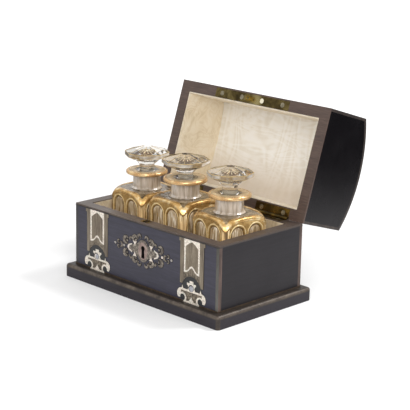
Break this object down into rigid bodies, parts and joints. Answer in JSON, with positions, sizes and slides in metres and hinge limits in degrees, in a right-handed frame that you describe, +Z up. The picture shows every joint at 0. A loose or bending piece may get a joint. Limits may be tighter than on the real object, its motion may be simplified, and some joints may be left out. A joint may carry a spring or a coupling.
{
  "type": "scent box",
  "caption": "Domed ebonised scent box with a hinged lid, inlaid front, silk lining, a lock and lift-out gilt cut-glass flacons with stoppers.",
  "frame": {"origin": "middle of the plinth's underside, on the surface that the box stands on", "axes": "+X along the width to the right as seen from the front, -Y out of the front with the keyhole, +Z up"},
  "size_m": [0.181, 0.1777, 0.1546],
  "materials": {
    "ebonised_wood": "black stained and polished, satin",
    "rosewood_lipping": "brown veneer, worn satin",
    "patinated_strip": "dull brown patina",
    "watered_silk": "cream moire silk",
    "inlay_brass": "engraved, aged",
    "mother_of_pearl": "polished shell",
    "fitting_brass": "lacquered, aged",
    "screw_steel": "filed",
    "cut_crystal": "clear, gilt edges"
  },
  "bodies": {
    "case": {"base_board": "ebonised_wood", "plinth_front_moulding": "ebonised_wood", "plinth_back_moulding": "ebonised_wood", "plinth_left_moulding": "ebonised_wood", "plinth_right_moulding": "ebonised_wood", "case_front_wall": "ebonised_wood", "case_back_wall": "ebonised_wood", "case_left_wall": "ebonised_wood", "case_right_wall": "ebonised_wood", "case_rim": "rosewood_lipping", "plinth_stringing": "patinated_strip", "case_corner_stringing": "patinated_strip", "case_floor_lining": "watered_silk", "case_front_lining": "watered_silk", "case_back_lining": "watered_silk", "case_left_lining": "watered_silk", "case_right_lining": "watered_silk", "left_strap_brass": "inlay_brass", "right_strap_brass": "inlay_brass", "escutcheon_brass": "inlay_brass", "keyhole_ring": "inlay_brass", "left_strap_pearl": "mother_of_pearl", "right_strap_pearl": "mother_of_pearl", "left_cartouche_pearl": "mother_of_pearl", "right_cartouche_pearl": "mother_of_pearl", "escutcheon_pearl": "mother_of_pearl", "cartouche_studs": "mother_of_pearl", "lock_case": "fitting_brass", "lock_cover_plate": "fitting_brass", "lock_selvedge": "fitting_brass", "left_hinge_case_leaf": "fitting_brass", "right_hinge_case_leaf": "fitting_brass", "lock_key_pin": "screw_steel", "left_hinge_pin": "screw_steel", "right_hinge_pin": "screw_steel", "hinge_case_screws": "screw_steel"},
    "lid": {"lid_front_wall": "ebonised_wood", "lid_back_wall": "ebonised_wood", "lid_left_end": "ebonised_wood", "lid_right_end": "ebonised_wood", "lid_top_panel": "ebonised_wood", "lid_rim": "rosewood_lipping", "lid_edge_stringing": "patinated_strip", "lid_ceiling_lining": "watered_silk", "lid_front_lining": "watered_silk", "lid_back_lining": "watered_silk", "lid_left_lining": "watered_silk", "lid_right_lining": "watered_silk", "link_plate": "fitting_brass", "left_hinge_lid_leaf": "fitting_brass", "right_hinge_lid_leaf": "fitting_brass", "hinge_lid_screws": "screw_steel", "link_plate_screws": "screw_steel"},
    "bolt": {"lock_bolt": "screw_steel"},
    "left_flacon": {"left_flacon": "cut_crystal"},
    "left_stopper": {"left_stopper": "cut_crystal"},
    "middle_flacon": {"middle_flacon": "cut_crystal"},
    "middle_stopper": {"middle_stopper": "cut_crystal"},
    "right_flacon": {"right_flacon": "cut_crystal"},
    "right_stopper": {"right_stopper": "cut_crystal"}
  },
  "joints": [
    {"name": "lid_hinge", "type": "hinge", "parent": "case", "child": "lid", "pos_m": [0, 0.0475, 0.0642], "axis": [-1, 0, 0], "range_deg": [-107.66, 0]},
    {"name": "bolt_throw", "type": "slide", "parent": "case", "child": "bolt", "axis": [-1, 0, 0], "range_m": [0, 0.004]},
    {"name": "left_flacon_lift", "type": "slide", "parent": "case", "child": "left_flacon", "axis": [0, 0, 1], "range_m": [0, 0.11]},
    {"name": "left_stopper_lift", "type": "slide", "parent": "left_flacon", "child": "left_stopper", "axis": [0, 0, 1], "range_m": [0, 0.03]},
    {"name": "middle_flacon_lift", "type": "slide", "parent": "case", "child": "middle_flacon", "axis": [0, 0, 1], "range_m": [0, 0.11]},
    {"name": "middle_stopper_lift", "type": "slide", "parent": "middle_flacon", "child": "middle_stopper", "axis": [0, 0, 1], "range_m": [0, 0.03]},
    {"name": "right_flacon_lift", "type": "slide", "parent": "case", "child": "right_flacon", "axis": [0, 0, 1], "range_m": [0, 0.11]},
    {"name": "right_stopper_lift", "type": "slide", "parent": "right_flacon", "child": "right_stopper", "axis": [0, 0, 1], "range_m": [0, 0.03]}
  ]
}
